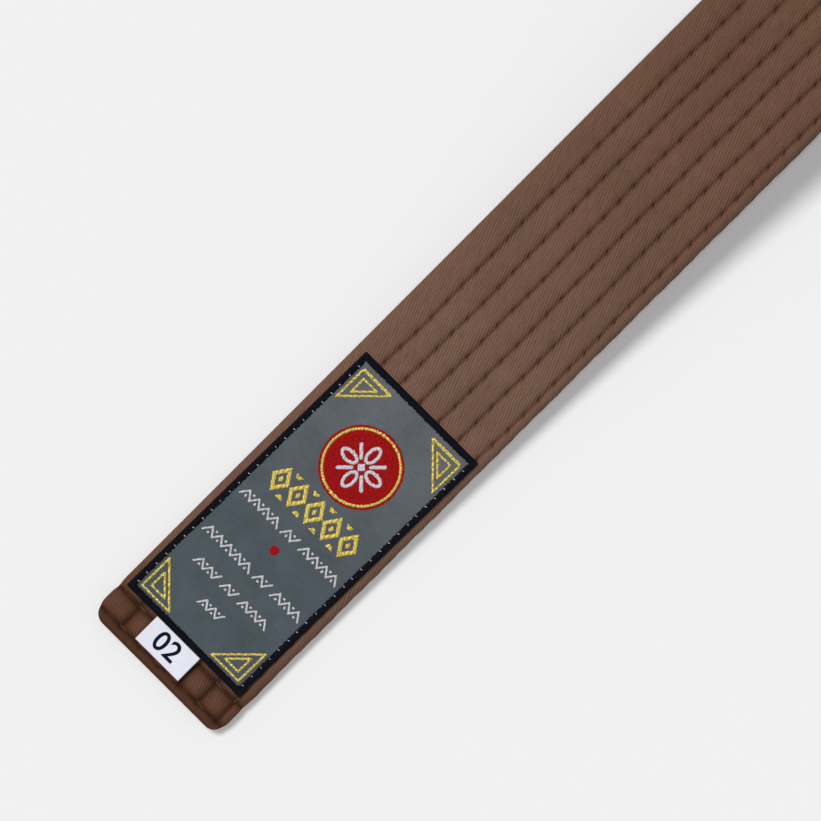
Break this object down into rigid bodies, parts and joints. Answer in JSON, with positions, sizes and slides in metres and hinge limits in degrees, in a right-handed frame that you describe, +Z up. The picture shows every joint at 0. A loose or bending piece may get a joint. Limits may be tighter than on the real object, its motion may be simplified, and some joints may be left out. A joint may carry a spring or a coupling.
{
  "type": "martial arts belt",
  "caption": "Quilted cotton martial arts belt in brown twill with a woven label and a size tag; the label end lies out flat and the rest is folded in a banded hank.",
  "frame": {"origin": "Centre of the plan of the whole belt as it lies, at the level it rests on: the underside of the label end and of the band.", "axes": "+X runs along the belt from the label tip to the folded length, +Y points across it to the folded edge, with the closing seam at -Y, and +Z is up, the way the label faces."},
  "size_m": [0.6714, 0.0418, 0.0399],
  "materials": {
    "cover": "matt brown cotton twill",
    "batting": "undyed cotton batting",
    "thread": "brown sewing thread",
    "label": "grey satin weave with gold, red and pale figures",
    "label_border": "black overcast thread",
    "label_sewing": "grey sewing thread",
    "size_tag": "white woven ribbon with black printed digits",
    "band": "dark knitted tape"
  },
  "bodies": {
    "folded_length": {"folded_cover": "cover", "folded_ply_1": "batting", "folded_ply_2": "batting", "folded_ply_3": "batting", "folded_needle_thread_1": "thread", "folded_needle_thread_2": "thread", "folded_needle_thread_3": "thread", "folded_needle_thread_4": "thread", "folded_needle_thread_5": "thread", "folded_needle_thread_6": "thread", "folded_bobbin_thread_1": "thread", "folded_bobbin_thread_2": "thread", "folded_bobbin_thread_3": "thread", "folded_bobbin_thread_4": "thread", "folded_bobbin_thread_5": "thread", "folded_bobbin_thread_6": "thread", "folded_cross_needle_thread_1": "thread", "folded_cross_needle_thread_2": "thread", "folded_cross_bobbin_thread_1": "thread", "folded_cross_bobbin_thread_2": "thread", "hank_band": "band"},
    "label_end": {"label_end_cover": "cover", "label_end_ply_1": "batting", "label_end_ply_2": "batting", "label_end_ply_3": "batting", "label_end_needle_thread_1": "thread", "label_end_needle_thread_2": "thread", "label_end_needle_thread_3": "thread", "label_end_needle_thread_4": "thread", "label_end_needle_thread_5": "thread", "label_end_needle_thread_6": "thread", "label_end_bobbin_thread_1": "thread", "label_end_bobbin_thread_2": "thread", "label_end_bobbin_thread_3": "thread", "label_end_bobbin_thread_4": "thread", "label_end_bobbin_thread_5": "thread", "label_end_bobbin_thread_6": "thread", "label_end_cross_needle_thread_1": "thread", "label_end_cross_needle_thread_2": "thread", "label_end_cross_bobbin_thread_1": "thread", "label_end_cross_bobbin_thread_2": "thread", "label_ground": "label", "label_border": "label_border", "label_sewing_thread": "label_sewing"},
    "size_tag": {"size_tag": "size_tag"}
  },
  "joints": [
    {"name": "label_end_lift", "type": "hinge", "parent": "folded_length", "child": "label_end", "pos_m": [-0.04589, 0, 0.03682], "axis": [0, 1, 0], "range_deg": [0, 40]},
    {"name": "size_tag_flap", "type": "hinge", "parent": "label_end", "child": "size_tag", "pos_m": [-0.32563, 0, 0.0049], "axis": [0, 1, 0], "range_deg": [0, 110]}
  ]
}
